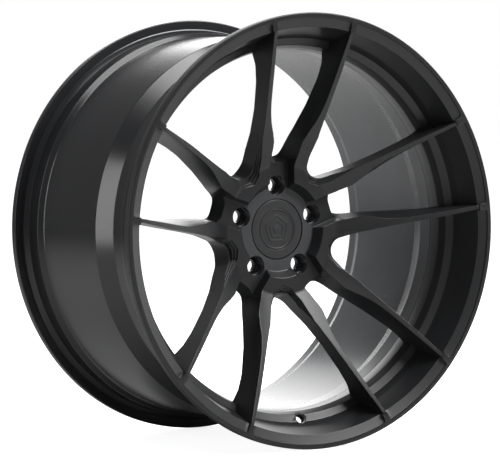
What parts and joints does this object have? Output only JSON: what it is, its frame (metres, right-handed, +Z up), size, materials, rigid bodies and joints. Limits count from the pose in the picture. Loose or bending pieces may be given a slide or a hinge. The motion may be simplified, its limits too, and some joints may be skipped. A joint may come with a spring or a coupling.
{
  "type": "forged racing wheel rim",
  "caption": "Wide deep-concave forged wheel rim with narrow paired spokes, stepped lip ledges, recessed lug seats and a removable centre cap.",
  "frame": {"origin": "on the axle, in the plane of the hub mounting pad", "axes": "+Y along the axle towards the car, -Y out of the wheel's face, +Z up through the middle of one spoke pair"},
  "size_m": [0.543, 0.2994, 0.543],
  "materials": {
    "face_paint": "satin black powder coat",
    "barrel_paint": "satin black powder coat",
    "seat_metal": "dark machined, semi-gloss",
    "cap_paint": "satin charcoal moulded plastic",
    "badge_paint": "satin charcoal, embossed",
    "spring_steel": "bright drawn wire"
  },
  "bodies": {
    "wheel": {"rim_barrel": "barrel_paint", "barrel_weld": "barrel_paint", "front_lip_ring": "face_paint", "hub_centre": "face_paint", "spoke_1_left": "face_paint", "spoke_1_right": "face_paint", "spoke_2_left": "face_paint", "spoke_2_right": "face_paint", "spoke_3_left": "face_paint", "spoke_3_right": "face_paint", "spoke_4_left": "face_paint", "spoke_4_right": "face_paint", "spoke_5_left": "face_paint", "spoke_5_right": "face_paint", "lug_seat_1": "seat_metal", "lug_seat_2": "seat_metal", "lug_seat_3": "seat_metal", "lug_seat_4": "seat_metal", "lug_seat_5": "seat_metal"},
    "cap": {"centre_cap": "cap_paint", "cap_badge": "badge_paint", "cap_spring_ring": "spring_steel"}
  },
  "joints": [
    {"name": "cap_pull", "type": "slide", "parent": "wheel", "child": "cap", "axis": [0, -1, 0], "range_m": [0, 0.12]}
  ]
}
